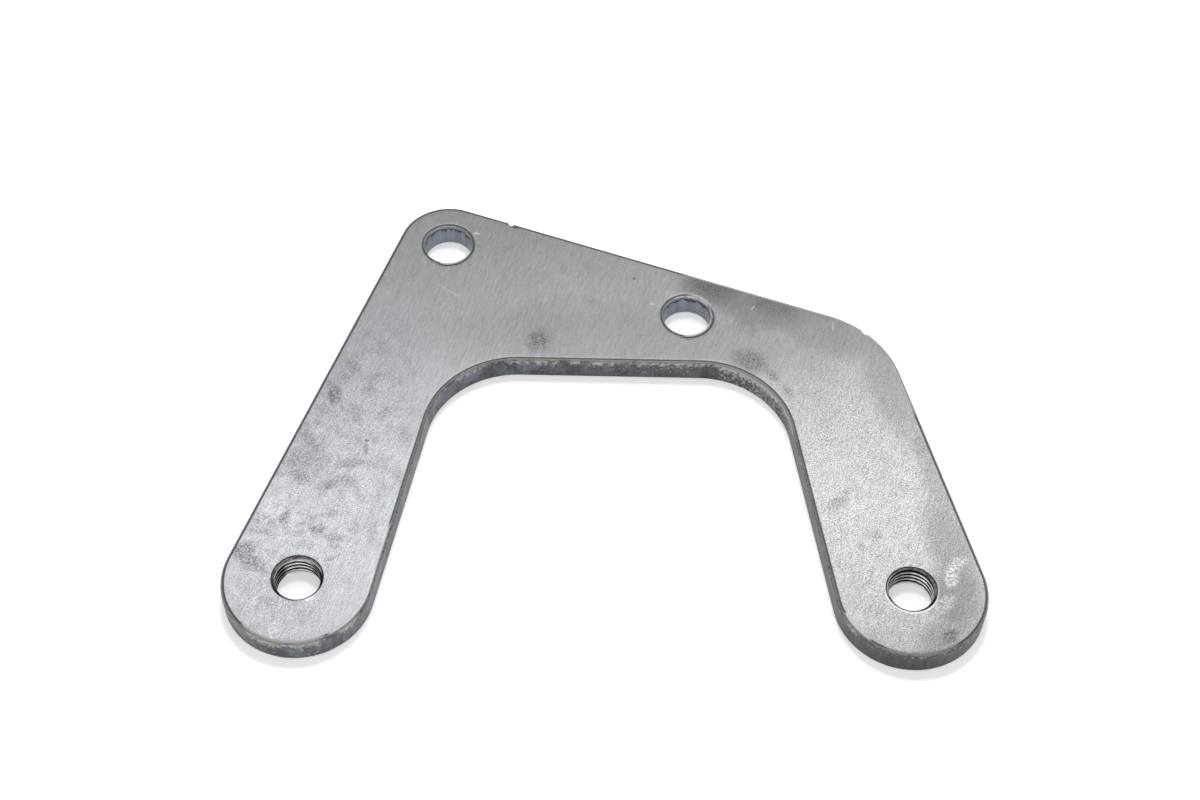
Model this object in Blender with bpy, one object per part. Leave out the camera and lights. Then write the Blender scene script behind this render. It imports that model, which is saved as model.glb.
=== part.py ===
# Caliper bracket: one flat steel plate with two plain bolt holes and a tapped hole at the end of each arm.
# Sizes are in metres. In plan, the left tapped hole is at (0, 0), the right one lies along +X from it, and +Y
# points to the edge with the plain holes. The finished plate lies flat, centred over the world origin, +Z up.

import math

import bmesh
import bpy
from mathutils import Vector

# Plate
PLATE_THICKNESS = 0.00635
EDGE_ROUND = 0.0008

# Round ends of the two arms, each about its tapped hole
TAPPED_SPACING = 0.13335
LEFT_END_RADIUS = 0.0166
RIGHT_END_RADIUS = 0.01675

# Plain holes: the left one is placed from the left tapped hole, the right one from the right tapped hole
PLAIN_HOLE_DIAMETER = 0.0112
LEFT_PLAIN_X = 0.0274
LEFT_PLAIN_Y = 0.0955
RIGHT_PLAIN_SETBACK = 0.04795
RIGHT_PLAIN_Y = 0.0748

# Outer corners: the left one is round about the left plain hole, the right one is a wide shoulder
CORNER_RADIUS = 0.0119
SHOULDER_RADIUS = 0.0246
SHOULDER_SETBACK = 0.0221
SHOULDER_Y = 0.0526

# Opening between the arms: its far edge runs parallel to the line of the tapped holes
OPENING_DEPTH = 0.0605
OPENING_FILLET = 0.0211
LEFT_FILLET_X = 0.0461
RIGHT_FILLET_SETBACK = 0.0451

# Tapped holes, at the thread's minor diameter, countersunk on both faces
TAPPED_MINOR_DIAMETER = 0.0099
COUNTERSINK_DIAMETER = 0.01147
COUNTERSINK_ANGLE = math.radians(90)

# Nicks where the cut was started: one on the outer edge and one in each plain hole
NICK_RADIUS = 0.0022
NICK_DEPTH = 0.00035
OUTER_NICK_SHARE = 0.14
LEFT_NICK_TURN = math.radians(255)
RIGHT_NICK_TURN = math.radians(262)

# Fineness of the curves
ARC_STEP = math.radians(5)
HOLE_SIDES = 56
NICK_SIDES = 40
ROUND_SEGMENTS = 3
CUTTER_REACH = 0.002


def tangent_line(first, second):
    """Ends and outward normal of the straight edge from one arc to the next, with the plate on its left.

    An arc is (centre, radius), and a radius below zero is a fillet that curves into the plate.
    """
    (start, start_radius), (end, end_radius) = first, second
    along = end - start
    distance = along.length
    along.normalize()
    across = Vector((along.y, -along.x))
    lean = (start_radius - end_radius) / distance
    normal = lean * along + math.sqrt(1 - lean**2) * across
    return start + start_radius * normal, end + end_radius * normal, normal


def outline_arcs():
    """The arcs of the plate's edge, counter-clockwise from above, starting at the left arm's end."""
    fillet_y = OPENING_DEPTH - OPENING_FILLET
    return [
        (Vector((0, 0)), LEFT_END_RADIUS),
        (Vector((LEFT_FILLET_X, fillet_y)), -OPENING_FILLET),
        (Vector((TAPPED_SPACING - RIGHT_FILLET_SETBACK, fillet_y)), -OPENING_FILLET),
        (Vector((TAPPED_SPACING, 0)), RIGHT_END_RADIUS),
        (Vector((TAPPED_SPACING - SHOULDER_SETBACK, SHOULDER_Y)), SHOULDER_RADIUS),
        (left_plain_centre(), CORNER_RADIUS),
    ]


def left_plain_centre():
    return Vector((LEFT_PLAIN_X, LEFT_PLAIN_Y))


def right_plain_centre():
    return Vector((TAPPED_SPACING - RIGHT_PLAIN_SETBACK, RIGHT_PLAIN_Y))


def tapped_centres():
    return Vector((0, 0)), Vector((TAPPED_SPACING, 0))


def outline_points():
    """The plate's edge as a closed ring of points: each arc, joined to the next by their common tangent."""
    arcs = outline_arcs()
    lines = [tangent_line(arc, arcs[(i + 1) % len(arcs)]) for i, arc in enumerate(arcs)]
    points = []
    for i, (centre, radius) in enumerate(arcs):
        normal_in, normal_out = lines[i - 1][2], lines[i][2]
        start = math.atan2(normal_in.y, normal_in.x)
        sweep = (math.atan2(normal_out.y, normal_out.x) - start) % math.tau
        if radius < 0:
            sweep -= math.tau
        steps = math.ceil(abs(sweep) / ARC_STEP)
        for step in range(steps + 1):
            turn = start + sweep * step / steps
            points.append(centre + radius * Vector((math.cos(turn), math.sin(turn))))
    return points


def middle_of(points):
    """The centre of the points' bounding box."""
    xs = [point.x for point in points]
    ys = [point.y for point in points]
    return Vector(((min(xs) + max(xs)) / 2, (min(ys) + max(ys)) / 2))


def steel():
    material = bpy.data.materials.new("mild_steel_plate")
    material.use_nodes = True
    shader = material.node_tree.nodes["Principled BSDF"]
    shader.inputs["Base Color"].default_value = (0.36, 0.37, 0.38, 1)
    shader.inputs["Metallic"].default_value = 0.9
    shader.inputs["Roughness"].default_value = 0.42
    return material


def object_from(name, mesh_builder, place):
    """A new object at a place in plan, from a bmesh that is closed and faces outwards."""
    bmesh.ops.recalc_face_normals(mesh_builder, faces=mesh_builder.faces)
    mesh = bpy.data.meshes.new(name)
    mesh_builder.to_mesh(mesh)
    mesh_builder.free()
    made = bpy.data.objects.new(name, mesh)
    made.location = (place.x, place.y, 0)
    bpy.context.scene.collection.objects.link(made)
    return made


def plate_blank(points, place):
    """The outline extruded to the plate's thickness, with its top and bottom edges rounded."""
    builder = bmesh.new()
    ring = [builder.verts.new((point.x, point.y, 0)) for point in points]
    underside = builder.faces.new(ring)
    extruded = bmesh.ops.extrude_face_region(builder, geom=[underside])["geom"]
    raised = [item for item in extruded if isinstance(item, bmesh.types.BMVert)]
    bmesh.ops.translate(builder, verts=raised, vec=(0, 0, PLATE_THICKNESS))
    builder.normal_update()
    flat_edges = [edge for edge in builder.edges if edge.verts[0].co.z == edge.verts[1].co.z]
    bmesh.ops.bevel(
        builder,
        geom=flat_edges,
        affect="EDGES",
        offset=EDGE_ROUND,
        offset_type="OFFSET",
        segments=ROUND_SEGMENTS,
        profile=0.5,
        material=-1,
    )
    return object_from("caliper_bracket", builder, place)


def rounded_profile(bore_radius):
    """Radius and height along the wall of a plain hole, whose rims are rounded like the plate's edges."""
    turns = [math.pi / 2 * step / ROUND_SEGMENTS for step in range(ROUND_SEGMENTS + 1)]
    rim = [(bore_radius + EDGE_ROUND * (1 - math.cos(t)), EDGE_ROUND * (1 - math.sin(t))) for t in turns]
    lower = rim[::-1]
    upper = [(radius, PLATE_THICKNESS - height) for radius, height in rim]
    return lower + upper


def countersunk_profile():
    """Radius and height along the wall of a tapped hole, left at the thread's minor diameter."""
    minor, mouth = TAPPED_MINOR_DIAMETER / 2, COUNTERSINK_DIAMETER / 2
    depth = (mouth - minor) / math.tan(COUNTERSINK_ANGLE / 2)
    return [(mouth, 0), (minor, depth), (minor, PLATE_THICKNESS - depth), (mouth, PLATE_THICKNESS)]


def hole_cutter(name, profile, place):
    """A turned cutter: the wall's profile, run past both faces of the plate and closed on its axis."""
    low, high = profile[0], profile[-1]
    ends_low = [(0, low[1] - CUTTER_REACH), (low[0], low[1] - CUTTER_REACH)]
    ends_high = [(high[0], high[1] + CUTTER_REACH), (0, high[1] + CUTTER_REACH)]
    builder = bmesh.new()
    chain = [builder.verts.new((radius, 0, height)) for radius, height in ends_low + profile + ends_high]
    edges = [builder.edges.new(pair) for pair in zip(chain, chain[1:])]
    bmesh.ops.spin(
        builder,
        geom=chain + edges,
        cent=(0, 0, 0),
        axis=(0, 0, 1),
        angle=math.tau,
        steps=HOLE_SIDES,
        use_merge=True,
    )
    bmesh.ops.remove_doubles(builder, verts=builder.verts, dist=1e-6)
    return object_from(name, builder, place)


def nick_cutter(name, place):
    """A small round cutter, as tall as the plate and past both its faces."""
    builder = bmesh.new()
    bmesh.ops.create_cone(
        builder,
        cap_ends=True,
        segments=NICK_SIDES,
        radius1=NICK_RADIUS,
        radius2=NICK_RADIUS,
        depth=PLATE_THICKNESS + 2 * CUTTER_REACH,
    )
    bmesh.ops.translate(builder, verts=builder.verts, vec=(0, 0, PLATE_THICKNESS / 2))
    return object_from(name, builder, place)


def nick_in_hole(centre, turn):
    """Where a nick's cutter stands so that it bites NICK_DEPTH past the wall of a plain hole."""
    reach = PLAIN_HOLE_DIAMETER / 2 + NICK_DEPTH - NICK_RADIUS
    return centre + reach * Vector((math.cos(turn), math.sin(turn)))


def nick_on_edge():
    """Where the outer nick's cutter stands: off the long edge from the shoulder to the left corner."""
    arcs = outline_arcs()
    start, end, normal = tangent_line(arcs[4], arcs[5])
    return end.lerp(start, OUTER_NICK_SHARE) + (NICK_RADIUS - NICK_DEPTH) * normal


def cut(target, cutter):
    cutter.hide_render = True
    cutter.display_type = "WIRE"
    boolean = target.modifiers.new(cutter.name, "BOOLEAN")
    boolean.operation = "DIFFERENCE"
    boolean.solver = "EXACT"
    boolean.object = cutter


def build_bracket():
    points = outline_points()
    shift = -middle_of(points)
    bracket = plate_blank(points, shift)
    bracket.data.materials.append(steel())
    left_tapped, right_tapped = tapped_centres()
    plain_wall = rounded_profile(PLAIN_HOLE_DIAMETER / 2)
    cutters = [
        hole_cutter("left_plain_hole_cutter", plain_wall, left_plain_centre() + shift),
        hole_cutter("right_plain_hole_cutter", plain_wall, right_plain_centre() + shift),
        hole_cutter("left_tapped_hole_cutter", countersunk_profile(), left_tapped + shift),
        hole_cutter("right_tapped_hole_cutter", countersunk_profile(), right_tapped + shift),
        nick_cutter("left_hole_nick_cutter", nick_in_hole(left_plain_centre(), LEFT_NICK_TURN) + shift),
        nick_cutter("right_hole_nick_cutter", nick_in_hole(right_plain_centre(), RIGHT_NICK_TURN) + shift),
        nick_cutter("outer_nick_cutter", nick_on_edge() + shift),
    ]
    for cutter in cutters:
        cut(bracket, cutter)
    bracket.data.shade_smooth()
    bracket.data.set_sharp_from_angle(angle=math.radians(35))


for old in list(bpy.data.objects):
    bpy.data.objects.remove(old, do_unlink=True)
build_bracket()
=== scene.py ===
# Caliper bracket: a laser-cut mild steel plate with tumbled edges, two plain holes and two tapped holes.
# Sizes and patterns are in millimetres, counted in plan from the left tapped hole, and meshes in metres.

import math

import bmesh
import bpy
from mathutils import Matrix, Vector


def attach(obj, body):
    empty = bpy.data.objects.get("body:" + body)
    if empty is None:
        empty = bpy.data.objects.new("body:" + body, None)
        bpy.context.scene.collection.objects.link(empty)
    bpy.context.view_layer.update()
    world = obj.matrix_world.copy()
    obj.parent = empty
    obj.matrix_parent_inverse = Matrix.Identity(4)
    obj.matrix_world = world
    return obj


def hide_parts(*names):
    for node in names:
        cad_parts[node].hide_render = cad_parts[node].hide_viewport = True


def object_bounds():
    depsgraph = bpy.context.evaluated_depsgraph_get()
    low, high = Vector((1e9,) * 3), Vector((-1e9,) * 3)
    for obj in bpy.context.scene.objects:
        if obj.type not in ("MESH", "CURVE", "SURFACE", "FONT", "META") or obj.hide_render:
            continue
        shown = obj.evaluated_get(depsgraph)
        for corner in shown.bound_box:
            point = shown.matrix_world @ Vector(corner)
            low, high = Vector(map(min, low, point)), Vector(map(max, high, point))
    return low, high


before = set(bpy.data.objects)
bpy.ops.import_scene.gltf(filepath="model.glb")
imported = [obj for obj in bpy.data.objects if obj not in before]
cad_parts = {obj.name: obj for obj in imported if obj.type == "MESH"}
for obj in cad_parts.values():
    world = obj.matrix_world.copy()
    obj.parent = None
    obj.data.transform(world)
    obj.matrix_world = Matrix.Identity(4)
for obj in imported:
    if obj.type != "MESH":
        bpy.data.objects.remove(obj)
cadLow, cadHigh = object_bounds()

millimetre = 0.001
samePoint = 1e-4  # points nearer to each other than this are merged
sameHeight = 1e-3  # a face nearer to a height than this lies at it
cutterReach = 2  # how far a cutter runs on past a face
millSlot, edgeSlot, tappedSlot = range(3)  # the plate's material slots
noiseSpan = (0.3, 0.7)  # most of a noise texture's values lie in here
colourMix = {"out": 2, "data_type": "RGBA"}  # its factor is socket 0, and its colours are sockets 6 and 7

plate = {
    "node": "caliper_bracket",
    "origin": (-66.751, -45.332),  # the left tapped hole, from the middle of the plate
    "thickness": (cadHigh.z - cadLow.z) / millimetre,
    "edgeRound": 0.8,
    "roundSegments": 6,
    "arcStep": math.radians(2.5),
    "sharpTurn": math.radians(35),  # an edge that turns by more than this is shaded sharp
    "upright": 0.9999,  # a flat face's normal is at least this upright
    "rimBand": 0.7,  # each flat face has a band this wide along its rims, for the tint that the cut left
    # the outline's arcs: centre and radius, counter-clockwise, with a fillet's radius below zero
    "arcs": [
        ((0.0, 0.0), 16.6),
        ((46.1, 39.4), -21.1),
        ((88.25, 39.4), -21.1),
        ((133.35, 0.0), 16.75),
        ((111.25, 52.6), 24.6),
        ((27.4, 95.5), 11.9),
    ],
}

plainHoles = {
    "left": {"place": (27.4, 95.5), "stepTurn": math.radians(255)},
    "right": {"place": (85.4, 74.8), "stepTurn": math.radians(262)},
    "radius": 5.6,
    "steps": 96,
    "leadIn": 0.45,  # where the cut began, the upper rim is this much wider
    "leadInDepth": 0.4,
    "leadInLean": math.radians(22),  # the wider rim faces this far round from the step in it
}

# Small bites in the outer edge: the depth is measured inwards from the place, and outward is a turn
outerNicks = {
    "steps": 32,
    "edgeNick": {"place": (42.4, 102.02), "outward": math.radians(70.6), "radius": 0.85, "depth": 0.2},
    "shoulderNick": {"place": (127.8, 70.8), "outward": math.radians(47.6), "radius": 1.0, "depth": 0.8},
}

thread = {
    "left": {"place": (0.0, 0.0), "startTurn": math.radians(0)},
    "right": {"place": (133.35, 0.0), "startTurn": math.radians(120)},
    "major": 11.11,  # 7/16 in
    "minor": 9.9,
    "pitch": 1.27,  # 20 to the inch
    "flank": math.radians(30),
    "rootFlat": 1 / 8,  # of the pitch
    "mouth": 11.47,  # countersunk at right angles
    "undercut": 0.12,  # the groove's cutter starts this far inside the bore
    "spareTurns": 3,  # half of them are below the plate, and half above it
    "steps": 64,
    "metalRadius": 5.9,  # what is nearer the axis than this is freshly cut metal
}


# An sRGB hex colour in linear values
def linear(hexColour):
    channels = [int(hexColour[i:i + 2], 16) / 255 for i in (1, 3, 5)]
    return [c / 12.92 if c <= 0.04045 else ((c + 0.055) / 1.055) ** 2.4 for c in channels] + [1]


# The inputs are a dictionary by socket name or number, or else values for the first sockets, in their order
def addNode(tree, kind, inputs=(), out=0, **settings):
    node = tree.nodes.new("ShaderNode" + kind)
    for name, value in settings.items():
        setattr(node, name, value)
    bySocket = inputs if isinstance(inputs, dict) else dict(enumerate(inputs))
    for socket, value in bySocket.items():
        if isinstance(value, bpy.types.NodeSocket):
            tree.links.new(value, node.inputs[socket])
        else:
            node.inputs[socket].default_value = value
    return node.outputs[out]


def newMaterial(name):
    material = bpy.data.materials.new(name)
    material.use_nodes = True
    return material, material.node_tree, material.node_tree.nodes["Principled BSDF"]


def polar(radius, turn):
    return Vector((radius * math.cos(turn), radius * math.sin(turn), 0))


# A bmesh in plan millimetres becomes an object that stands at the origin, with its place in its mesh
def objectFrom(builder, name, place=(0, 0)):
    moved = Vector((place[0] + plate["origin"][0], place[1] + plate["origin"][1], 0))
    bmesh.ops.translate(builder, verts=builder.verts, vec=moved)
    bmesh.ops.scale(builder, verts=builder.verts, vec=(millimetre,) * 3)
    bmesh.ops.recalc_face_normals(builder, faces=builder.faces)
    mesh = bpy.data.meshes.new(name)
    builder.to_mesh(mesh)
    builder.free()
    made = bpy.data.objects.new(name, mesh)
    bpy.context.scene.collection.objects.link(made)
    return made


# The turn of the radius at which one arc ends and the next begins, where a straight edge touches both
def tangentTurn(first, second):
    (start, startRadius), (end, endRadius) = first, second
    reach = Vector(end) - Vector(start)
    lean = (startRadius - endRadius) / reach.length
    return math.atan2(reach.y, reach.x) - math.acos(lean)


def outlineEdges(builder):
    arcs = plate["arcs"]
    turns = [tangentTurn(arc, arcs[(i + 1) % len(arcs)]) for i, arc in enumerate(arcs)]
    chains = []
    for i, (centre, radius) in enumerate(arcs):
        middle = Vector((*centre, 0))
        sweep = (turns[i] - turns[i - 1]) % math.tau
        if radius < 0:
            sweep -= math.tau
        first = builder.verts.new(middle + polar(radius, turns[i - 1]))
        known = set(builder.verts)
        bmesh.ops.spin(
            builder,
            geom=[first],
            cent=middle,
            axis=(0, 0, 1),
            angle=sweep,
            steps=math.ceil(abs(sweep) / plate["arcStep"]),
            use_merge=False,
        )
        chains.append((first, [vert for vert in builder.verts if vert not in known or vert is first]))
    for i, (first, chain) in enumerate(chains):
        builder.edges.new((chain[-1], chains[(i + 1) % len(chains)][0]))


def buildBlank():
    builder = bmesh.new()
    outlineEdges(builder)
    underside = bmesh.ops.contextual_create(builder, geom=builder.edges)["faces"]
    extruded = bmesh.ops.extrude_face_region(builder, geom=underside)["geom"]
    raised = [item for item in extruded if isinstance(item, bmesh.types.BMVert)]
    bmesh.ops.translate(builder, verts=raised, vec=(0, 0, plate["thickness"]))
    rims = [edge for edge in builder.edges if edge.verts[0].co.z == edge.verts[1].co.z]
    bmesh.ops.recalc_face_normals(builder, faces=builder.faces)
    bmesh.ops.bevel(
        builder,
        geom=rims,
        affect="EDGES",
        offset=plate["edgeRound"],
        offset_type="OFFSET",
        segments=plate["roundSegments"],
        profile=0.5,
        material=-1,
    )
    return objectFrom(builder, "caliperPlate")


# A cutter turned from its wall's profile. It runs on past both faces, or past the upper one only if shallow.
def turned(builder, profile, steps, shallow=False):
    low, high = profile[0], profile[-1]
    start = [(0, low[1])] if shallow else [(0, low[1] - cutterReach), (low[0], low[1] - cutterReach)]
    end = [(high[0], high[1] + cutterReach), (0, high[1] + cutterReach)]
    chain = [builder.verts.new((radius, 0, height)) for radius, height in start + profile + end]
    edges = [builder.edges.new(pair) for pair in zip(chain, chain[1:])]
    bmesh.ops.spin(
        builder,
        geom=chain + edges,
        cent=(0, 0, 0),
        axis=(0, 0, 1),
        angle=math.tau,
        steps=steps,
        use_merge=True,
    )
    bmesh.ops.remove_doubles(builder, verts=builder.verts, dist=samePoint)


# Radius and height along a straight wall whose rims are rounded as the plate's edges are
def roundedWall(radius):
    rim = plate["edgeRound"]
    turns = [math.pi / 2 * i / plate["roundSegments"] for i in range(plate["roundSegments"] + 1)]
    lower = [(radius + rim * (1 - math.cos(turn)), rim * (1 - math.sin(turn))) for turn in reversed(turns)]
    return lower + [(wide, plate["thickness"] - height) for wide, height in reversed(lower)]


# The bore, and a shallow slipped copy of its upper rim that is cut off square to make the step
def plainHoleCutters(side):
    hole = plainHoles[side]
    wall = roundedWall(plainHoles["radius"])
    bore = bmesh.new()
    turned(bore, wall, plainHoles["steps"])
    leadIn = bmesh.new()
    leadInFloor = plate["thickness"] - plainHoles["leadInDepth"] - samePoint
    turned(leadIn, [point for point in wall if point[1] > leadInFloor], plainHoles["steps"], shallow=True)
    slip = polar(plainHoles["leadIn"], hole["stepTurn"] + plainHoles["leadInLean"])
    bmesh.ops.translate(leadIn, verts=leadIn.verts, vec=slip)
    cut = bmesh.ops.bisect_plane(
        leadIn,
        geom=leadIn.verts[:] + leadIn.edges[:] + leadIn.faces[:],
        plane_co=(0, 0, 0),
        plane_no=polar(1, hole["stepTurn"] + math.pi / 2),
        clear_inner=True,
    )["geom_cut"]
    bmesh.ops.contextual_create(leadIn, geom=[item for item in cut if isinstance(item, bmesh.types.BMEdge)])
    return [
        objectFrom(bore, side + "PlainHole", hole["place"]),
        objectFrom(leadIn, side + "LeadIn", hole["place"]),
    ]


def nickCutter(name):
    nick = outerNicks[name]
    builder = bmesh.new()
    turned(builder, [(nick["radius"], 0), (nick["radius"], plate["thickness"])], outerNicks["steps"])
    away = polar(nick["radius"] - nick["depth"], nick["outward"])
    return objectFrom(builder, name, (nick["place"][0] + away.x, nick["place"][1] + away.y))


# The countersunk bore, and the thread's groove, which is a 60 degree section spun along a helix
def tappedHoleCutters(side):
    hole = thread[side]
    minor, major, mouth = thread["minor"] / 2, thread["major"] / 2, thread["mouth"] / 2
    sink = mouth - minor
    top = plate["thickness"]
    bore = bmesh.new()
    turned(bore, [(mouth, 0), (minor, sink), (minor, top - sink), (mouth, top)], thread["steps"])
    inner = minor - thread["undercut"]
    rootHalf = thread["pitch"] * thread["rootFlat"] / 2
    openHalf = rootHalf + (major - inner) * math.tan(thread["flank"])
    turns = math.ceil(top / thread["pitch"]) + thread["spareTurns"]
    lowest = -thread["spareTurns"] / 2 * thread["pitch"]
    groove = bmesh.new()
    section = [(inner, -openHalf), (major, -rootHalf), (major, rootHalf), (inner, openHalf)]
    ring = [groove.verts.new((radius, 0, lowest + height)) for radius, height in section]
    face = groove.faces.new(ring)
    bmesh.ops.spin(
        groove,
        geom=[face] + list(face.edges) + ring,
        cent=(0, 0, 0),
        axis=(0, 0, 1),
        dvec=(0, 0, thread["pitch"] / thread["steps"]),
        angle=math.tau * turns,
        steps=thread["steps"] * turns,
        use_merge=False,
    )
    begin = Matrix.Rotation(hole["startTurn"], 3, "Z")
    bmesh.ops.rotate(groove, verts=groove.verts, cent=(0, 0, 0), matrix=begin)
    return [
        objectFrom(bore, side + "TappedBore", hole["place"]),
        objectFrom(groove, side + "Groove", hole["place"]),
    ]


def carve(piece, cutters):
    for cutter in cutters:
        boolean = piece.modifiers.new(cutter.name, "BOOLEAN")
        boolean.operation = "DIFFERENCE"
        boolean.solver = "EXACT"
        boolean.object = cutter
    carved = bpy.data.meshes.new_from_object(piece.evaluated_get(bpy.context.evaluated_depsgraph_get()))
    piece.modifiers.clear()
    piece.data = carved
    for cutter in cutters:
        bpy.data.objects.remove(cutter)


def tappedAxes():
    return [
        Vector((hole["place"][0] + plate["origin"][0], hole["place"][1] + plate["origin"][1])) * millimetre
        for hole in (thread["left"], thread["right"])
    ]


# Sorts the faces into mill face, cut edge and thread, and gives each flat face a narrow band along its rims
def markRegions(piece):
    builder = bmesh.new()
    builder.from_mesh(piece.data)
    bmesh.ops.remove_doubles(builder, verts=builder.verts, dist=samePoint * millimetre)
    builder.normal_update()
    axes = tappedAxes()
    top = plate["thickness"] * millimetre
    slip = sameHeight * millimetre
    for face in builder.faces:
        middle = face.calc_center_median()
        inMouth = any((middle.xy - axis).length < thread["metalRadius"] * millimetre for axis in axes)
        onFace = abs(face.normal.z) > plate["upright"] and min(middle.z, top - middle.z) < slip
        face.material_index = tappedSlot if inMouth else millSlot if onFace else edgeSlot
    walk = builder.verts.layers.float.new("rimWalk")  # millimetres in from the rim of a flat face
    for height in (0, top):
        flat = [
            face
            for face in builder.faces
            if face.material_index == millSlot and abs(face.calc_center_median().z - height) < slip
        ]
        bmesh.ops.inset_region(
            builder,
            faces=flat,
            thickness=plate["rimBand"] * millimetre,
            use_even_offset=True,
            use_boundary=True,
        )
        for vert in {vert for face in flat for vert in face.verts}:
            vert[walk] = plate["rimBand"]
    print("faces", len(builder.faces), "open edges", sum(not edge.is_manifold for edge in builder.edges))
    builder.to_mesh(piece.data)
    builder.free()


def buildPlate():
    piece = buildBlank()
    cutters = []
    for side in ("left", "right"):
        cutters += plainHoleCutters(side) + tappedHoleCutters(side)
    cutters += [nickCutter(name) for name in ("edgeNick", "shoulderNick")]
    carve(piece, cutters)
    piece.data.materials.clear()  # clearing resets the faces' slots, so they are sorted after it
    markRegions(piece)
    for material in (millFace(), laserEdge(), tappedSteel()):  # in the order of the slots
        piece.data.materials.append(material)
    piece.data.shade_smooth()
    piece.data.set_sharp_from_angle(angle=plate["sharpTurn"])
    weighted = piece.modifiers.new("flatFaces", "WEIGHTED_NORMAL")
    weighted.keep_sharp = True
    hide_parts(plate["node"])
    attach(piece, "root")
    return piece


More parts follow.
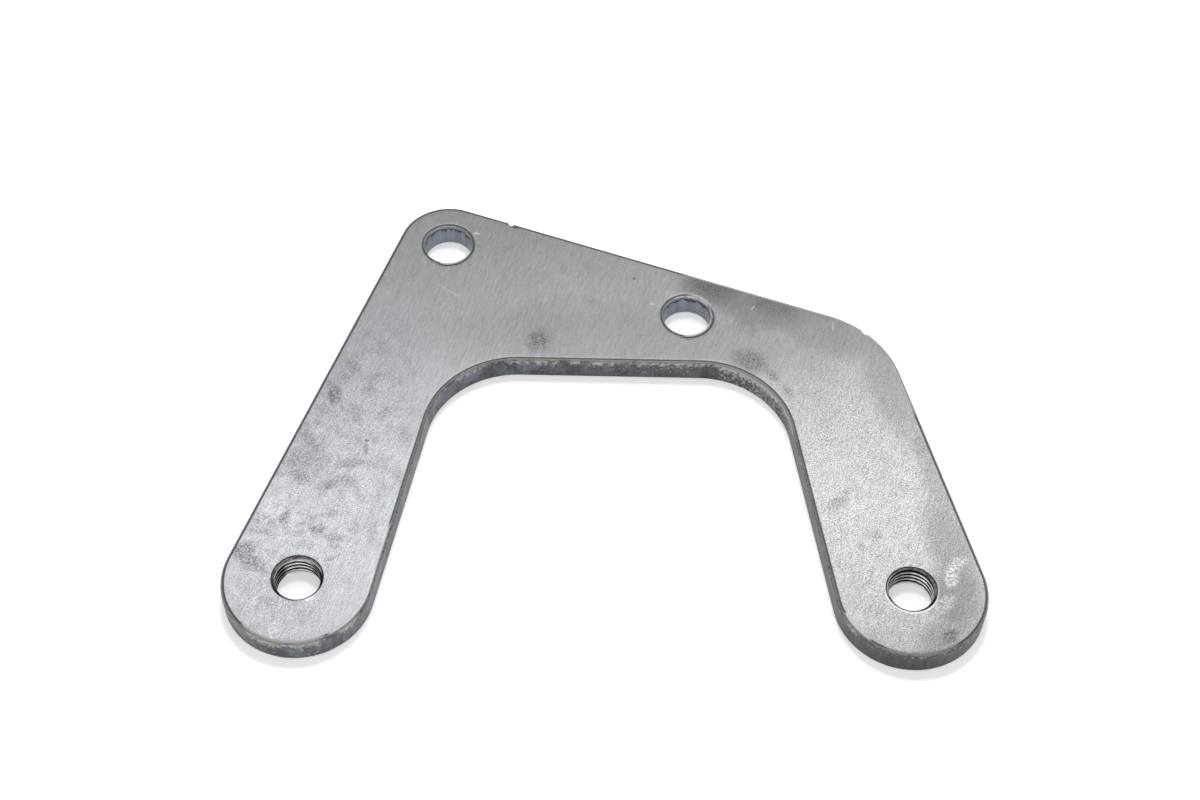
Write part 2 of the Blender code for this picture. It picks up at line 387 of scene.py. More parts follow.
faceFinish = {
    "steelLeft": "#B1B3B7",
    "steelRight": "#B4B2B1",
    "toneWay": (1, 0.5, 0),
    "toneAcross": (40, 140),  # millimetres that way over which the left tone turns into the right one
    "stainAndShade": "#66676A",
    # bright metal for scratches and wear, and for painted highlights
    "rubbed": "#E4E5E6",
    "heatTint": "#4A4540",
    "roughness": 0.29,
    "grainTurn": math.radians(73),
    "grainLength": 7,  # times its width
    "grainRelief": 0.0022,
    # noises, scaled per millimetre: real grain and sparkle are finer, and are drawn coarse enough to show
    "fineGrain": {"Scale": 3.4, "Detail": 2, "Roughness": 0.6},
    "broadGrain": {"Scale": 1.2, "Detail": 2, "Roughness": 0.5},
    "sparkle": {"Scale": 3.6, "Detail": 1},
    "cloud": {"Scale": 0.09, "Detail": 3, "Roughness": 0.6},
    "speckle": {"Scale": 2.4, "Detail": 3, "Roughness": 0.6},
    "patchy": {"Scale": 0.28, "Detail": 4, "Roughness": 0.62},
    "fleck": {"Scale": 2.0, "Detail": 3, "Roughness": 0.7},
    # what a value becomes: from low and high, to low and high
    "fineLight": (*noiseSpan, -0.15, 0.15),
    "broadLight": (*noiseSpan, -0.035, 0.035),
    "sparkleLight": (*noiseSpan, -0.42, 0.42),
    "cloudLight": (*noiseSpan, 0.96, 1.04),
    "sparkleReach": (0, 1, 0.12, 1.2),  # off the arms and on them
    "speckled": (0.43, 0.56, 0.3, 1.2),
    "patches": (0.46, 0.62, 0, 1),
    "flecked": (0.42, 0.6, 0, 1),
    "tinted": (0.2, 0, 0, 0.7),  # from 0.2 mm in from the rim to the rim itself
    # noise that bends the outlines of marks: its scale per millimetre and its reach
    "stainBend": (0.35, 3.0),
    "bandBend": (0.2, 2.2),
    "scratchBend": (1.2, 0.5),
    # the soft share of the ovals in each list below
    "softness": {
        "arms": 0.45,
        "armWear": 0.35,
        "stains": 0.55,
        "shadeBands": 0.5,
        "scratchesAndGlint": 0.4,
        "rimHighlights": 0.015,
        "worn": 0.5,
        "pits": 0.4,
    },
    # ovals, each a place, half length, half width, turn in degrees and depth: first, where the face sparkles
    "arms": [
        ((3.0, 20.0), 46.0, 17.0, 76, 0.72),
        ((129.0, 18.0), 46.0, 20.0, 106, 1.0),
    ],
    # where dull patches are strewn, in the same order
    "armWear": [
        ((3.0, 26.0), 42.0, 15.0, 76, 0.34),
        ((126.0, 18.0), 36.0, 12.0, 104, 0.16),
    ],
    # dull stains, in the same order
    "stains": [
        ((91.5, 83.6), 6.0, 3.2, -18, 0.30),
        ((106.0, 78.0), 5.0, 3.0, -18, 0.25),
        ((99.0, 71.5), 3.6, 2.0, -20, 0.25),
        ((3.4, 49.5), 3.4, 1.6, 100, 0.75),
        ((7.5, 57.5), 3.0, 1.8, 120, 0.45),
        ((-0.5, 36.0), 4.6, 1.7, 130, 0.55),
        ((-2.2, 31.5), 4.0, 3.0, 30, 0.50),
        ((9.6, 30.2), 4.2, 1.3, 10, 0.50),
        ((12.1, 34.2), 1.8, 0.8, 80, 0.55),
        ((-2.0, 27.0), 3.2, 1.8, 140, 0.60),
        ((2.0, 28.2), 2.2, 1.6, 60, 0.35),
        ((5.0, 24.3), 3.0, 1.5, 20, 0.60),
        ((9.0, 25.2), 2.8, 1.3, 150, 0.45),
        ((-4.3, 15.2), 1.8, 1.2, 60, 0.70),
        ((-9.3, 15.0), 3.2, 1.6, 160, 0.55),
        ((-9.5, 11.8), 3.4, 1.2, 170, 0.40),
        ((3.4, 12.5), 1.6, 1.4, 20, 0.70),
        ((0.2, 13.6), 1.8, 0.9, 20, 0.40),
        ((6.0, 16.6), 1.6, 1.2, 20, 0.45),
        ((7.2, 10.5), 3.0, 1.0, 170, 0.45),
        ((15.2, 12.0), 1.3, 3.2, 0, 0.35),
        ((-12.6, 7.0), 3.2, 1.9, 20, 0.70),
        ((-11.2, 4.4), 3.8, 1.5, 160, 0.75),
        ((-9.4, 2.2), 3.2, 1.2, 160, 0.55),
        ((6.5, 5.3), 1.4, 0.6, 20, 0.45),
        ((20.6, 38.0), 1.8, 3.2, 0, 0.35),
        ((20.5, 26.5), 1.4, 2.6, 20, 0.35),
        ((50.4, 66.5), 2.4, 3.0, 0, 0.50),
        ((62.6, 78.4), 1.6, 1.6, 0, 0.22),
        ((55.7, 87.9), 1.0, 1.6, 0, 0.22),
        ((100.3, 61.6), 4.2, 2.8, -30, 0.55),
        ((104.8, 57.6), 2.6, 1.3, -45, 0.45),
        ((108.6, 52.4), 2.2, 1.0, -65, 0.40),
        ((118.4, 22.2), 2.4, 1.6, 30, 0.55),
        ((120.6, 25.0), 1.8, 1.0, 30, 0.35),
        ((126.6, 13.8), 1.7, 1.2, 30, 0.45),
        ((123.3, 10.9), 1.2, 0.9, 30, 0.40),
        ((137.8, 38.0), 1.6, 2.8, 0, 0.35),
        ((134.3, 35.8), 0.7, 0.9, 0, 0.40),
        ((140.6, -11.6), 1.9, 1.0, 40, 0.50),
        ((3.0, 78.0), 8.0, 3.0, 70, 0.30),
    ],
    # bands of painted shade, darker where the light falls off over the web and along the right arm, in the same
    # order
    "shadeBands": [
        ((75.0, 65.5), 44.0, 11.0, -4, 0.24),
        ((92.8, 82.2), 8.6, 5.2, -18, 0.52),
        ((104.0, 76.8), 13.0, 6.0, -18, 0.50),
        ((117.0, 70.5), 13.0, 7.0, -25, 0.38),
        ((130.0, 65.0), 7.0, 5.0, -45, 0.32),
        ((133.0, 52.0), 15.0, 5.0, -72, 0.34),
        ((142.0, 28.0), 11.0, 3.8, -76, 0.40),
        ((142.6, 12.0), 12.0, 4.8, -77, 0.48),
        ((143.0, -1.0), 9.0, 5.6, -95, 0.58),
        ((139.5, -11.0), 8.0, 3.8, -135, 0.40),
    ],
    # small marks down to the bright metal, and last a painted glint beside the left tapped hole, in the same
    # order
    "scratchesAndGlint": [
        ((34.2, 99.1), 0.75, 0.3, 0, 0.95),
        ((28.0, 81.2), 2.9, 0.22, -32, 0.22),
        ((30.6, 79.6), 0.9, 0.5, 0, 0.28),
        ((77.2, 78.0), 0.7, 0.2, 0, 0.55),
        ((101.2, 77.5), 0.8, 0.2, 55, 0.45),
        ((120.0, 72.3), 1.4, 0.2, 85, 0.35),
        # a painted glint: a bright spot on the flat beside the left tapped hole's rim, standing in for a
        # highlight
        ((3.1, -5.2), 1.0, 0.34, 32, 0.95),
    ],
    # the rim of the right tapped hole, painted bright towards the arm's end, a painted highlight
    "rimHighlights": [
        ((133.35, -0.3), 5.93, 5.93, 0, 0.5),
    ],
    # patches worn bright in spots, in the same order
    "worn": [
        ((142.5, 4.3), 3.2, 1.5, 75, 0.85),
        ((144.2, 7.2), 1.8, 1.2, 20, 0.60),
        ((140.2, -3.6), 3.0, 1.4, 40, 0.50),
        ((-3.8, -13.2), 2.6, 1.1, 75, 0.60),
        ((-7.5, 17.0), 4.0, 2.4, 60, 0.40),
    ],
    # pits, in the same order
    "pits": [
        ((72.8, 85.7), 0.42, 0.35, 0, 0.75),
        ((12.2, 36.6), 0.5, 0.35, 0, 0.85),
        ((6.6, 42.2), 0.3, 0.25, 0, 0.55),
        ((85.6, 67.6), 0.6, 0.9, 0, 0.40),
        ((35.4, 95.0), 0.4, 0.3, 0, 0.35),
        ((76.4, 62.8), 0.3, 0.4, 0, 0.45),
        ((43.6, 101.2), 0.9, 0.30, -20, 0.75),
        ((128.4, 69.2), 0.7, 0.30, -45, 0.50),
        ((114.6, 62.9), 0.3, 0.5, 0, 0.50),
        ((33.0, 89.0), 0.35, 0.35, 0, 0.35),
    ],
}


# The deepest of the finish's soft-edged ovals of one name
def ovals(tree, plan, finish, name):
    softness = finish["softness"][name]
    deepest = None
    for place, halfLength, halfWidth, turn, depth in finish[name]:
        local = addNode(
            tree,
            "Mapping",
            {
                "Vector": plan,
                "Location": (*place, 0),
                "Rotation": (0, 0, math.radians(turn)),
                "Scale": (halfLength, halfWidth, 1000),  # tall enough to go through the plate
            },
            vector_type="TEXTURE",
        )
        reach = addNode(tree, "VectorMath", (local,), out="Value", operation="LENGTH")
        fade = (reach, 1 - softness, 1 + softness, depth, 0)
        oval = addNode(tree, "MapRange", fade, interpolation_type="SMOOTHSTEP")
        deepest = oval if deepest is None else addNode(tree, "Math", (deepest, oval), operation="MAXIMUM")
    return deepest


# Object coordinates in millimetres from the left tapped hole
def planCoordinates(tree):
    place = addNode(tree, "TexCoord", out="Object")
    shift = (-plate["origin"][0], -plate["origin"][1], 0)
    return addNode(tree, "Mapping", {"Vector": place, "Scale": (1 / millimetre,) * 3, "Location": shift})


# Plan coordinates bent by a noise, so that an oval drawn on them has an uneven outline
def bent(tree, plan, scale, reach):
    noise = addNode(tree, "TexNoise", {"Vector": plan, "Scale": scale, "Detail": 3}, out="Color")
    centred = addNode(tree, "VectorMath", (noise, (0.5,) * 3), operation="SUBTRACT")
    step = addNode(tree, "VectorMath", {0: centred, "Scale": reach}, operation="SCALE")
    return addNode(tree, "VectorMath", (plan, step), operation="ADD")


# Hot-rolled mild steel, pickled and tumbled. To the eye it is a soft grey metal with a fine rolled grain, a
# sparkle on the arms, dull stains, bands of painted shade, painted highlights and a thin brown tint along the
# cut.
def millFace():
    finish = faceFinish
    material, tree, shader = newMaterial("pickledSteelFace")
    plan = planCoordinates(tree)
    rimWalk = addNode(tree, "Attribute", out="Fac", attribute_name="rimWalk")
    height = addNode(tree, "SeparateXYZ", (plan,), out="Z")
    onTop = addNode(tree, "Math", (height, plate["thickness"] / 2), operation="GREATER_THAN")

    grainAxes = {
        "Vector": plan,
        "Rotation": (0, 0, finish["grainTurn"]),
        "Scale": (finish["grainLength"], 1, 1),
    }
    along = addNode(tree, "Mapping", grainAxes, vector_type="TEXTURE")
    fineGrain = addNode(tree, "TexNoise", {"Vector": along, **finish["fineGrain"]})
    broadGrain = addNode(tree, "TexNoise", {"Vector": along, **finish["broadGrain"]})
    sparkle = addNode(tree, "TexNoise", {"Vector": plan, **finish["sparkle"]})
    cloud = addNode(tree, "TexNoise", {"Vector": plan, **finish["cloud"]})
    arms = ovals(tree, plan, finish, "arms")
    sparkleReach = addNode(tree, "MapRange", (arms, *finish["sparkleReach"]))
    sparkleLight = addNode(tree, "MapRange", (sparkle, *finish["sparkleLight"]))
    sparkleLight = addNode(tree, "Math", (sparkleLight, sparkleReach), operation="MULTIPLY")
    broadLight = addNode(tree, "MapRange", (broadGrain, *finish["broadLight"]))
    cloudLight = addNode(tree, "MapRange", (cloud, *finish["cloudLight"]))
    light = addNode(tree, "MapRange", (fineGrain, *finish["fineLight"]))
    for more in (broadLight, sparkleLight, cloudLight):
        light = addNode(tree, "Math", (light, more), operation="ADD")

    # what is darker: stains and strewn patches, both speckled, then bands of painted shade, and pits
    speckle = addNode(tree, "TexNoise", {"Vector": plan, **finish["speckle"]})
    speckled = addNode(tree, "MapRange", (speckle, *finish["speckled"]))
    loose = bent(tree, plan, *finish["stainBend"])
    stains = ovals(tree, loose, finish, "stains")
    stains = addNode(tree, "Math", (stains, onTop), operation="MULTIPLY")
    armWear = ovals(tree, plan, finish, "armWear")
    patchy = addNode(tree, "TexNoise", {"Vector": plan, **finish["patchy"]})
    patches = addNode(tree, "MapRange", (patchy, *finish["patches"]), interpolation_type="SMOOTHSTEP")
    armPatches = addNode(tree, "Math", (armWear, patches), operation="MULTIPLY")
    marked = addNode(tree, "Math", (stains, armPatches), operation="MAXIMUM")
    marked = addNode(tree, "Math", (marked, speckled), operation="MULTIPLY")
    bands = ovals(tree, bent(tree, plan, *finish["bandBend"]), finish, "shadeBands")
    bands = addNode(tree, "Math", (bands, onTop), operation="MULTIPLY")
    pits = ovals(tree, plan, finish, "pits")
    pits = addNode(tree, "Math", (pits, onTop), operation="MULTIPLY")
    dark = addNode(tree, "Math", (marked, bands), operation="ADD")
    dark = addNode(tree, "Math", (dark, pits), operation="MAXIMUM")

    # what is brighter: scratches, flecks of wear, a painted glint, and the painted highlight on the rim of a
    # hole
    fleck = addNode(tree, "TexNoise", {"Vector": plan, **finish["fleck"]})
    flecked = addNode(tree, "MapRange", (fleck, *finish["flecked"]))
    worn = ovals(tree, loose, finish, "worn")
    worn = addNode(tree, "Math", (worn, flecked), operation="MULTIPLY")
    bright = ovals(tree, bent(tree, plan, *finish["scratchBend"]), finish, "scratchesAndGlint")
    for more in (worn, ovals(tree, plan, finish, "rimHighlights")):
        bright = addNode(tree, "Math", (bright, more), operation="MAXIMUM")
    bright = addNode(tree, "Math", (bright, onTop), operation="MULTIPLY")

    across = addNode(tree, "VectorMath", (plan, finish["toneWay"]), out="Value", operation="DOT_PRODUCT")
    rightward = addNode(tree, "MapRange", (across, *finish["toneAcross"]))
    steelTones = {0: rightward, 6: linear(finish["steelLeft"]), 7: linear(finish["steelRight"])}
    tone = addNode(tree, "Mix", steelTones, **colourMix)
    steel = addNode(tree, "Mix", {0: 1, 6: tone, 7: light}, **colourMix, blend_type="MULTIPLY")
    stained = addNode(tree, "Mix", {0: dark, 6: steel, 7: linear(finish["stainAndShade"])}, **colourMix)
    rubbed = addNode(tree, "Mix", {0: bright, 6: stained, 7: linear(finish["rubbed"])}, **colourMix)
    # the tint along the rims, with the lip's painted highlights in stretches
    tint = addNode(tree, "MapRange", (rimWalk, *finish["tinted"]), interpolation_type="SMOOTHSTEP")
    lip = lipColour(tree, plan, finish["heatTint"])
    tinted = addNode(tree, "Mix", {0: tint, 6: rubbed, 7: lip}, **colourMix)
    grain = addNode(tree, "Math", (fineGrain, sparkle), operation="ADD")
    relief = {"Height": grain, "Strength": 1, "Distance": finish["grainRelief"] * millimetre}
    tree.links.new(tinted, shader.inputs["Base Color"])
    tree.links.new(addNode(tree, "Bump", relief), shader.inputs["Normal"])
    shader.inputs["Metallic"].default_value = 1
    shader.inputs["Roughness"].default_value = finish["roughness"]
    return material


edgeFinish = {
    "wallLeft": "#6E737B",
    "wallRight": "#5A5755",
    "toneAcross": (40, 110),  # millimetres along X over which the left tone turns into the right one
    "wallDark": "#505154",
    "boreWall": "#828A95",
    "teeth": "#2B2A2B",
    "scale": "#BBB9B5",  # pale oxide that flakes off the cut
    # the rounding is painted lighter, a painted highlight where it catches the light
    "roundHighlight": "#9A9B9E",
    "boreRoundHighlight": "#C0C1C6",
    "glint": "#FFFFFF",
    "cutLip": "#645E58",
    # painted highlight on the lip
    "lipHighlight": "#F4F5F6",
    "metallic": 0.85,
    "roughness": 0.42,
    "streakRelief": 0.03,
    "streakLength": 10,  # times its width
    # noises, scaled per millimetre: the beam's real streaks are finer, and are drawn coarse enough to show
    "streak": {"Scale": 1.1, "Detail": 3, "Roughness": 0.65},
    "cloud": {"Scale": 0.14, "Detail": 4, "Roughness": 0.7},
    "crumbs": {"Scale": 1.25, "Detail": 5, "Roughness": 0.8},
    # what a value becomes: from low and high, to low and high
    "cloudy": (0.42, 0.58, 0, 1),
    "striped": (*noiseSpan, 0.78, 1.18),
    "ragged": (*noiseSpan, -0.6, 0.6),
    "hanging": (0.3, 2.6, 0.09, -0.08),  # the oxide thins out from the upper face down
    "flaked": (0.6, 0.69, 0, 0.75),
    "toothed": (1.5, 1.1, 0, 0.85),
    "rounding": (-0.08, 0.08, 0, 1),
    "rolledOver": (0.42, 0.34, 0, 1),  # the painted glints lie this far below the upper face and above
    "burning": (0.03, -0.03, 0, 0.95),
    # depths below a face where the rounding and the burnt line end: how much deeper in a bore, and elsewhere
    "roundEnd": (0.4, 0.27),
    "burntEnd": (0.05, 0.07),
    "patchLift": 0.15,  # how much more oxide there is in its patches
    "toothWave": 1.6,  # how far streaks and crumbs make these lines uneven
    "roundWave": 0.3,
    "roundCrumble": 1.8,
    "glintBend": (1.5, 0.6),
    # the soft share of the ovals in each list below
    "softness": {"bores": 0.02, "lipHighlights": 0.12, "burrs": 0.4, "scalePatches": 0.4},
    # ovals round the plain holes: place, half length, half width, turn in degrees and depth
    "bores": [(plainHoles[side]["place"], 7.5, 7.5, 0, 1) for side in ("left", "right")],
    # stretches where the lip is painted bright, a painted highlight, in the same order
    "lipHighlights": [
        ((108.5, 78.2), 25.0, 8.0, -18, 0.55),
        ((12.2, -10.8), 5.5, 2.6, 48, 0.8),
        ((16.4, -2.5), 5.6, 2.4, 75, 0.8),
        ((132.9, -1.4), 6.1, 6.1, 0, 0.9),
        ((-2.0, -15.8), 12.0, 4.0, -8, 0.5),
        ((19.0, 8.0), 9.0, 2.0, 76, 0.6),
        ((119.8, -9.6), 5.0, 2.0, -45, 0.7),
        ((131.0, 60.0), 14.0, 6.0, -60, 0.5),
        ((134.0, -16.5), 12.0, 3.0, 5, 0.2),
    ],
    # painted glints: bright highlights painted on the far rim of the right plain hole, in the same order
    "burrs": [
        ((83.0, 80.5), 2.0, 0.45, 15, 0.9),
        ((86.8, 80.7), 1.8, 0.45, -12, 1.0),
        ((89.8, 79.0), 1.9, 0.45, -42, 1.0),
        ((91.4, 75.6), 1.6, 0.40, -80, 0.9),
    ],
    # pale oxide on the walls, in the same order
    "scalePatches": [
        ((97.5, 59.0), 6.0, 3.6, -20, 1.1),
        ((104.0, 54.4), 5.6, 3.4, -50, 1.2),
        ((108.0, 47.0), 5.4, 2.6, -70, 0.9),
        ((84.0, 60.6), 6.0, 2.0, 0, 0.8),
        ((67.0, 60.6), 5.0, 2.0, 0, 0.7),
        ((52.0, 60.6), 3.0, 2.0, 0, 0.7),
        ((59.0, 60.5), 1.2, 2.0, 0, 0.8),
        ((76.0, 60.5), 2.6, 2.0, 0, 0.8),
        ((46.0, 60.2), 3.2, 2.0, 0, 0.6),
        ((34.0, 57.0), 4.0, 2.6, 35, 0.6),
        ((-6.0, -15.5), 4.2, 2.4, -20, 0.9),
        ((3.5, -16.5), 4.4, 2.0, 0, 0.9),
        ((12.0, -11.5), 2.6, 2.0, 45, 0.8),
        ((119.5, -9.5), 2.4, 2.0, -45, 0.5),
    ],
}


# The lip of the cut: burnt dark by the heat, and painted bright in stretches as a highlight
def lipColour(tree, plan, burnt):
    rubbed = ovals(tree, plan, edgeFinish, "lipHighlights")
    tones = {0: rubbed, 6: linear(burnt), 7: linear(edgeFinish["lipHighlight"])}
    return addNode(tree, "Mix", tones, **colourMix)


# Depth below the nearer face, in millimetres
def depthFromFace(tree, plan):
    height = addNode(tree, "SeparateXYZ", (plan,), out="Z")
    offMiddle = addNode(tree, "Math", (height, plate["thickness"] / 2), operation="SUBTRACT")
    offMiddle = addNode(tree, "Math", (offMiddle,), operation="ABSOLUTE")
    return addNode(tree, "Math", (plate["thickness"] / 2, offMiddle), operation="SUBTRACT")


# Mild steel cut by a laser, then tumbled. To the eye it is a darker wall with faint upright streaks and pale
# flakes of oxide, under a rounded rim that starts with a burnt line and is painted lighter as a highlight.
# Painted glints and highlights lie on some rims. In the plain holes it is bluer, with dark teeth above.
def laserEdge():
    finish = edgeFinish
    material, tree, shader = newMaterial("laserCutEdge")
    plan = planCoordinates(tree)
    depth = depthFromFace(tree, plan)
    height = addNode(tree, "SeparateXYZ", (plan,), out="Z")
    fromTop = addNode(tree, "Math", (plate["thickness"], height), operation="SUBTRACT")
    inBore = ovals(tree, plan, finish, "bores")
    outside = addNode(tree, "Math", (1, inBore), operation="SUBTRACT")
    upright = addNode(tree, "Mapping", {"Vector": plan, "Scale": (1, 1, 1 / finish["streakLength"])})
    streak = addNode(tree, "TexNoise", {"Vector": upright, **finish["streak"]})
    ragged = addNode(tree, "MapRange", (streak, *finish["ragged"]))
    crumbs = addNode(tree, "TexNoise", {"Vector": plan, **finish["crumbs"]})

    # the wall, and the dark teeth in the upper half of the plain holes
    cloud = addNode(tree, "TexNoise", {"Vector": plan, **finish["cloud"]})
    cloudy = addNode(tree, "MapRange", (cloud, *finish["cloudy"]))
    across = addNode(tree, "SeparateXYZ", (plan,), out="X")
    rightward = addNode(tree, "MapRange", (across, *finish["toneAcross"]))
    wallTones = {0: rightward, 6: linear(finish["wallLeft"]), 7: linear(finish["wallRight"])}
    wall = addNode(tree, "Mix", wallTones, **colourMix)
    wall = addNode(tree, "Mix", {0: cloudy, 6: linear(finish["wallDark"]), 7: wall}, **colourMix)
    wall = addNode(tree, "Mix", {0: inBore, 6: wall, 7: linear(finish["boreWall"])}, **colourMix)
    striped = addNode(tree, "MapRange", (streak, *finish["striped"]))
    wall = addNode(tree, "Mix", {0: 1, 6: wall, 7: striped}, **colourMix, blend_type="MULTIPLY")
    jagged = addNode(tree, "Math", (ragged, finish["toothWave"], fromTop), operation="MULTIPLY_ADD")
    teeth = addNode(tree, "MapRange", (jagged, *finish["toothed"]))
    teeth = addNode(tree, "Math", (teeth, inBore), operation="MULTIPLY")
    wall = addNode(tree, "Mix", {0: teeth, 6: wall, 7: linear(finish["teeth"])}, **colourMix)

    # the rounding's broken lower end
    wavy = addNode(tree, "Math", (ragged, finish["roundWave"], depth), operation="MULTIPLY_ADD")
    crumble = finish["roundCrumble"]
    broken = addNode(tree, "Math", (crumbs, crumble, -crumble / 2), operation="MULTIPLY_ADD")
    wavy = addNode(tree, "Math", (broken, outside, wavy), operation="MULTIPLY_ADD")
    roundEnd = addNode(tree, "Math", (inBore, *finish["roundEnd"]), operation="MULTIPLY_ADD")
    aboveEnd = addNode(tree, "Math", (roundEnd, wavy), operation="SUBTRACT")
    rounding = addNode(tree, "MapRange", (aboveEnd, *finish["rounding"]))
    # the rounding's lighter colour is a painted highlight
    roundTones = {0: inBore, 6: linear(finish["roundHighlight"]), 7: linear(finish["boreRoundHighlight"])}
    roundTone = addNode(tree, "Mix", roundTones, **colourMix)
    edge = addNode(tree, "Mix", {0: rounding, 6: wall, 7: roundTone}, **colourMix)

    # oxide, painted glints and the burnt line lie over both
    patches = ovals(tree, plan, finish, "scalePatches")
    flakes = addNode(tree, "Math", (patches, finish["patchLift"], crumbs), operation="MULTIPLY_ADD")
    hanging = addNode(tree, "MapRange", (fromTop, *finish["hanging"]))
    flakes = addNode(tree, "Math", (flakes, hanging), operation="ADD")
    flaked = addNode(tree, "MapRange", (flakes, *finish["flaked"]))
    flaked = addNode(tree, "Math", (flaked, outside), operation="MULTIPLY")
    edge = addNode(tree, "Mix", {0: flaked, 6: edge, 7: linear(finish["scale"])}, **colourMix)
    burrs = ovals(tree, bent(tree, plan, *finish["glintBend"]), finish, "burrs")
    rolledOver = addNode(tree, "MapRange", (fromTop, *finish["rolledOver"]))
    burrs = addNode(tree, "Math", (burrs, rolledOver), operation="MULTIPLY")
    edge = addNode(tree, "Mix", {0: burrs, 6: edge, 7: linear(finish["glint"])}, **colourMix)
    burntEnd = addNode(tree, "Math", (inBore, *finish["burntEnd"]), operation="MULTIPLY_ADD")
    belowBurn = addNode(tree, "Math", (depth, burntEnd), operation="SUBTRACT")
    burnt = addNode(tree, "MapRange", (belowBurn, *finish["burning"]))
    lip = lipColour(tree, plan, finish["cutLip"])
    colour = addNode(tree, "Mix", {0: burnt, 6: edge, 7: lip}, **colourMix)
    relief = {"Height": streak, "Strength": 1, "Distance": finish["streakRelief"] * millimetre}
    tree.links.new(colour, shader.inputs["Base Color"])
    tree.links.new(addNode(tree, "Bump", relief), shader.inputs["Normal"])
    shader.inputs["Metallic"].default_value = finish["metallic"]
    shader.inputs["Roughness"].default_value = finish["roughness"]
    return material


tappedFinish = {
    # the crests are painted bright and the grooves near black: a painted highlight and painted shade for the
    # thread's contrast
    "crestDull": "#C4C2BE",
    "crest": "#F2F1EE",
    "oil": "#4B4A40",
    "groove": "#201E1C",
    "mouthDull": "#6F6B6E",
    "mouth": "#A5A3A6",
    "cornerHighlight": "#E6E5E6",
    "rim": "#3F3B3A",
    "rimHighlight": "#DAD8D6",
    "roughness": 0.22,
    "smear": {"Scale": 0.9, "Detail": 3},  # per millimetre
    "shade": (0.4, 0.6, 0, 1),
    "grooveEdge": (0.01, 0.11),  # the groove darkens between these, outwards from the minor radius
    "mouthEdge": (0.05, -0.05),  # the mouth begins between these, from the foot of the countersink
    "mouthCornerEdge": (-0.22, -0.1),
    "rimEdge": (-0.18, -0.08),  # the dark rim begins between these, outwards from the mouth's radius
    "rimDepth": 0.85,
    "rimWave": 0.5,  # and wanders this far
    "softness": {"oiled": 0.4, "rimHighlights": 0.12},
    # ovals: place, half length, half width, turn in degrees and depth
    "oiled": [
        ((4.6, 1.8), 3.0, 1.5, 113, 1.0),
        ((-4.6, 1.0), 4.0, 1.9, 78, 0.95),
        ((131.0, 4.4), 4.4, 1.2, 28, 0.5),
    ],
    # a painted highlight on the right hole's rim, towards the arm's end
    "rimHighlights": [
        ((132.9, -1.4), 6.1, 6.1, 0, 1.0),
    ],
}


# Mild steel freshly cut by a tap and a countersink. To the eye it is bright crests over dark grooves, painted
# highlight and painted shade, with oil in places, below a duller mouth with a bright corner, a painted
# highlight, and a dark rim with a painted highlight on part of the right hole's rim.
def tappedSteel():
    finish = tappedFinish
    material, tree, shader = newMaterial("tappedSteel")
    plan = planCoordinates(tree)
    flatPlan = addNode(tree, "VectorMath", (plan, (1, 1, 0)), operation="MULTIPLY")
    reaches = []
    for side in ("left", "right"):
        axis = (*thread[side]["place"], 0)
        reaches.append(addNode(tree, "VectorMath", (flatPlan, axis), out="Value", operation="DISTANCE"))
    reach = addNode(tree, "Math", reaches, operation="MINIMUM")  # from the nearer hole's axis
    depth = depthFromFace(tree, plan)
    smear = addNode(tree, "TexNoise", {"Vector": plan, **finish["smear"]})
    shade = addNode(tree, "MapRange", (smear, *finish["shade"]))

    # painted highlight on the crests
    crestTones = {0: shade, 6: linear(finish["crestDull"]), 7: linear(finish["crest"])}
    crest = addNode(tree, "Mix", crestTones, **colourMix)
    oiled = ovals(tree, plan, finish, "oiled")
    crest = addNode(tree, "Mix", {0: oiled, 6: crest, 7: linear(finish["oil"])}, **colourMix)
    # painted shade in the grooves
    grooveEdge = [thread["minor"] / 2 + step for step in finish["grooveEdge"]]
    inGroove = addNode(tree, "MapRange", (reach, *grooveEdge))
    cut = addNode(tree, "Mix", {0: inGroove, 6: crest, 7: linear(finish["groove"])}, **colourMix)

    sink = (thread["mouth"] - thread["minor"]) / 2
    mouthEdge = [sink + step for step in finish["mouthEdge"]]
    inMouth = addNode(tree, "MapRange", (depth, *mouthEdge))
    # the bright corner at the countersink's foot is a painted highlight
    cornerEdge = [sink + step for step in finish["mouthCornerEdge"]]
    corner = addNode(tree, "MapRange", (depth, *cornerEdge))
    mouthTones = {0: shade, 6: linear(finish["mouthDull"]), 7: linear(finish["mouth"])}
    mouth = addNode(tree, "Mix", mouthTones, **colourMix)
    mouth = addNode(tree, "Mix", {0: corner, 6: mouth, 7: linear(finish["cornerHighlight"])}, **colourMix)
    colour = addNode(tree, "Mix", {0: inMouth, 6: cut, 7: mouth}, **colourMix)

    uneven = addNode(tree, "Math", (smear, finish["rimWave"], reach), operation="MULTIPLY_ADD")
    outer = (thread["mouth"] + finish["rimWave"]) / 2  # a noise is 0.5 on average, so half of the wave is added
    rimEdge = [outer + step for step in finish["rimEdge"]]
    rim = addNode(tree, "MapRange", (uneven, *rimEdge, 0, finish["rimDepth"]))
    # the dark rim, with a painted highlight on part of the right hole's rim
    rubbed = ovals(tree, plan, finish, "rimHighlights")
    rimTones = {0: rubbed, 6: linear(finish["rim"]), 7: linear(finish["rimHighlight"])}
    rimTone = addNode(tree, "Mix", rimTones, **colourMix)
    colour = addNode(tree, "Mix", {0: rim, 6: colour, 7: rimTone}, **colourMix)
    tree.links.new(colour, shader.inputs["Base Color"])
    shader.inputs["Metallic"].default_value = 1
    shader.inputs["Roughness"].default_value = finish["roughness"]
    return material


table = {
    "halfSide": 3,  # metres
    "drop": 0.05,  # millimetres below the plate, so that their faces aren't in one plane
    "colour": "#F3F3F3",
    "glow": 0.42,  # with the lamps' light on it, this shows as white
}


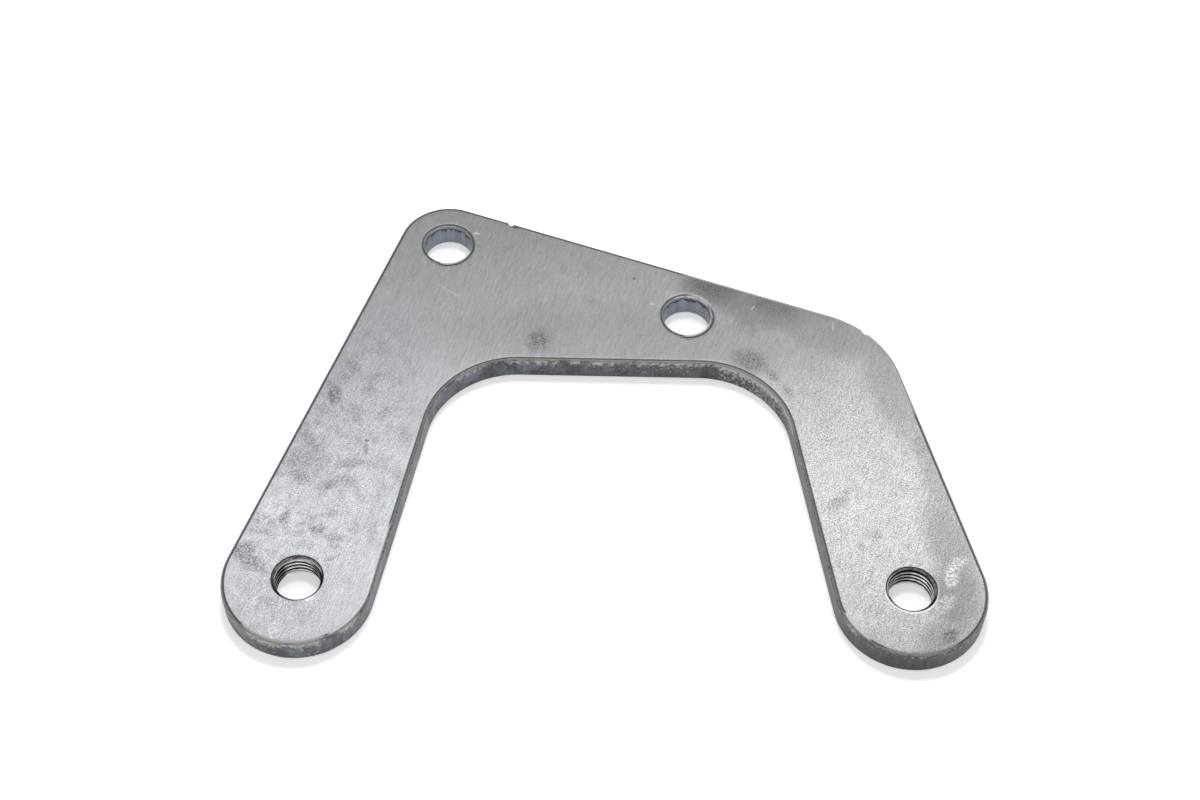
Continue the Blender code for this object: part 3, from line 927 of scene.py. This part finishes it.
# Matt white card. To the eye it is plain white with only the plate's shadow on it.
def buildTable():
    builder = bmesh.new()
    bmesh.ops.create_grid(builder, x_segments=1, y_segments=1, size=table["halfSide"])
    mesh = bpy.data.meshes.new("paleTable")
    builder.to_mesh(mesh)
    builder.free()
    top = bpy.data.objects.new("paleTable", mesh)
    top.location.z = -table["drop"] * millimetre
    bpy.context.scene.collection.objects.link(top)
    material, tree, shader = newMaterial("mattWhiteCard")
    tree.nodes.remove(shader)
    shown = addNode(tree, "LightPath", out="Is Camera Ray")
    for ray in ("Is Glossy Ray", "Is Transmission Ray"):
        shown = addNode(tree, "Math", (shown, addNode(tree, "LightPath", out=ray)), operation="MAXIMUM")
    strength = addNode(tree, "Math", (shown, table["glow"]), operation="MULTIPLY")
    glow = addNode(tree, "Emission", {"Color": linear("#FFFFFF"), "Strength": strength})
    matt = addNode(tree, "BsdfDiffuse", {"Color": linear(table["colour"])})
    both = addNode(tree, "AddShader", (glow, matt))
    tree.links.new(both, tree.nodes["Material Output"].inputs["Surface"])
    mesh.materials.append(material)


# Each lamp is on an arm over the plate's middle, which leans away from the camera and turns to the right
lighting = {
    "room": "#B3B3B3",
    "arm": 0.8,  # metres, as the lamps' sizes are
    "softboxBehind": {"lean": 30.87, "turn": 8.33, "size": (0.906, 0.1), "radiance": 3.3},
    "softboxFront": {"lean": -18, "turn": 0, "size": (0.9, 0.1), "radiance": 2.0},
    "overhead": {"lean": 17, "turn": 0, "size": (0.12, 0.12), "radiance": 43},
}


def addLamp(name):
    settings = lighting[name]
    lamp = bpy.data.lights.new(name, "AREA")
    lamp.shape = "RECTANGLE"
    width, height = settings["size"]
    lamp.size, lamp.size_y = width, height
    lamp.energy = settings["radiance"] * math.pi * width * height
    holder = bpy.data.objects.new(name, lamp)
    holder.rotation_euler = (-math.radians(settings["lean"]), math.radians(settings["turn"]), 0)
    holder.location = holder.rotation_euler.to_matrix() @ Vector((0, 0, lighting["arm"]))
    bpy.context.scene.collection.objects.link(holder)
    return holder


def lightScene():
    world = bpy.data.worlds.new("paleRoom")
    world.use_nodes = True
    world.node_tree.nodes["Background"].inputs["Color"].default_value = linear(lighting["room"])
    bpy.context.scene.world = world
    addLamp("softboxBehind")
    addLamp("softboxFront")
    overhead = addLamp("overhead")
    overhead.visible_glossy = False  # it draws the plate's shadow on the table and not itself in the steel


cameraView = {
    "lens": 62.53,
    "sensor": 36,
    "place": (-0.00382, -0.28035, 0.39447),  # metres from the plate's middle
    "turns": (36.214, -0.851, 0.740),
}


def placeCamera():
    lens = bpy.data.cameras.new("camera")
    lens.lens = cameraView["lens"]
    lens.sensor_width = cameraView["sensor"]
    holder = bpy.data.objects.new("camera", lens)
    holder.location = cameraView["place"]
    holder.rotation_euler = [math.radians(turn) for turn in cameraView["turns"]]
    bpy.context.scene.collection.objects.link(holder)
    bpy.context.scene.camera = holder


placeCamera()
print("camera placed")
buildPlate()
print("plate built")
buildTable()
print("table laid")
lightScene()
print("lamps placed")
bpy.context.scene.view_settings.view_transform = "Standard"
